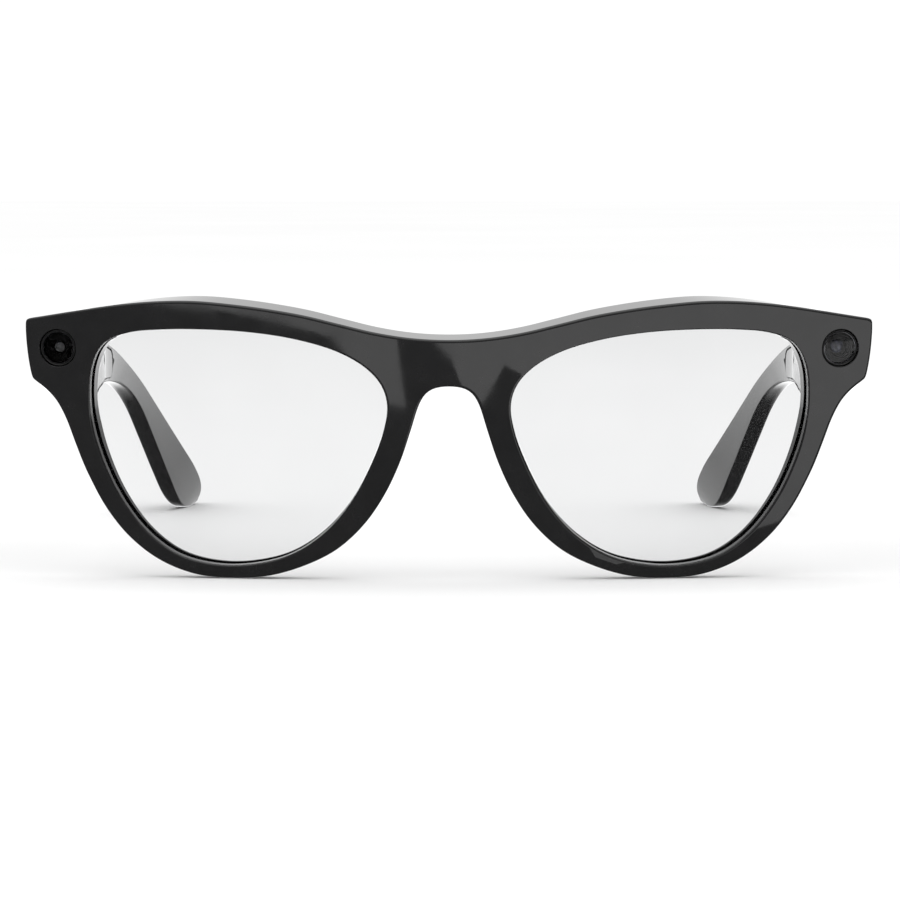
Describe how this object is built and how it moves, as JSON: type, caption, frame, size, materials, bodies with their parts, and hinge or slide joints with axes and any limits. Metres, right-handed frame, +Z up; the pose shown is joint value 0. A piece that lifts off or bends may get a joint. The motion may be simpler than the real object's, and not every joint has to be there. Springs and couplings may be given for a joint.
{
  "type": "smart glasses",
  "caption": "Glossy black smart glasses with clear lenses, a camera and a capture light in the end pieces, and thick temples that fold on barrel hinges.",
  "frame": {"origin": "middle of the footprint in plan, on the surface that the open glasses stand on", "axes": "+X to the wearer's left, +Y from the front to the temple tips, +Z up"},
  "size_m": [0.1442, 0.1604, 0.0484],
  "materials": {
    "gloss_black": "polished",
    "satin_black": "satin",
    "lens": "clear, coated",
    "dark_window": "polished",
    "camera_glass": "coated",
    "light_guide": "frosted",
    "steel": "brushed",
    "gold_contact": "gold plated",
    "flex_circuit": "polyimide film",
    "circuit_board": "solder mask",
    "battery_foil": "foil pouch"
  },
  "bodies": {
    "front": {"bridge_microphone": "steel", "brow_cover": "satin_black", "camera_barrel": "satin_black", "camera_lens": "camera_glass", "camera_sensor": "circuit_board", "camera_trim_ring": "satin_black", "camera_window": "dark_window", "charge_contact_left": "gold_contact", "charge_contact_right": "gold_contact", "endpiece_cover_left": "gloss_black", "endpiece_cover_right": "gloss_black", "front_flex": "flex_circuit", "front_frame": "gloss_black", "front_leaf_screw_lower_left": "steel", "front_leaf_screw_lower_right": "steel", "front_leaf_screw_upper_left": "steel", "front_leaf_screw_upper_right": "steel", "hinge_front_leaf_left": "steel", "hinge_front_leaf_right": "steel", "hinge_pin_left": "steel", "hinge_pin_right": "steel", "lens_left": "lens", "lens_right": "lens", "light_baffle": "satin_black", "light_board": "circuit_board", "light_guide": "light_guide", "light_trim_ring": "satin_black", "light_window": "dark_window"},
    "left_temple": {"battery": "battery_foil", "battery_board": "circuit_board", "hinge_temple_leaf_left": "steel", "speaker_left": "satin_black", "speaker_mesh_left": "steel", "switch_housing": "steel", "temple_cover_left": "gloss_black", "temple_leaf_screw_lower_left": "steel", "temple_leaf_screw_upper_left": "steel", "temple_microphone_left": "steel", "temple_shell_left": "gloss_black", "tip_core_left": "steel"},
    "right_temple": {"capture_switch": "steel", "hinge_temple_leaf_right": "steel", "main_board": "circuit_board", "processor_shield": "steel", "speaker_mesh_right": "steel", "speaker_right": "satin_black", "temple_cover_right": "gloss_black", "temple_leaf_screw_lower_right": "steel", "temple_leaf_screw_upper_right": "steel", "temple_microphone_right": "steel", "temple_shell_right": "gloss_black", "tip_core_right": "steel", "touch_sensor": "flex_circuit"},
    "capture_button": {"capture_button": "satin_black"},
    "power_switch": {"power_switch": "satin_black"}
  },
  "joints": [
    {"name": "left_temple_fold", "type": "hinge", "parent": "front", "child": "left_temple", "pos_m": [0.0632, -0.06011, 0.037], "axis": [0, 0, 1], "range_deg": [0, 86]},
    {"name": "right_temple_fold", "type": "hinge", "parent": "front", "child": "right_temple", "pos_m": [-0.0632, -0.06011, 0.037], "axis": [0, 0, -1], "range_deg": [0, 76]},
    {"name": "capture_button_press", "type": "slide", "parent": "right_temple", "child": "capture_button", "axis": [0, -0.0941, -0.9956], "range_m": [0, 0.0003], "stiffness_N_per_m": 4000},
    {"name": "power_switch_slide", "type": "slide", "parent": "left_temple", "child": "power_switch", "axis": [0, 1, 0], "range_m": [0, 0.002]}
  ]
}
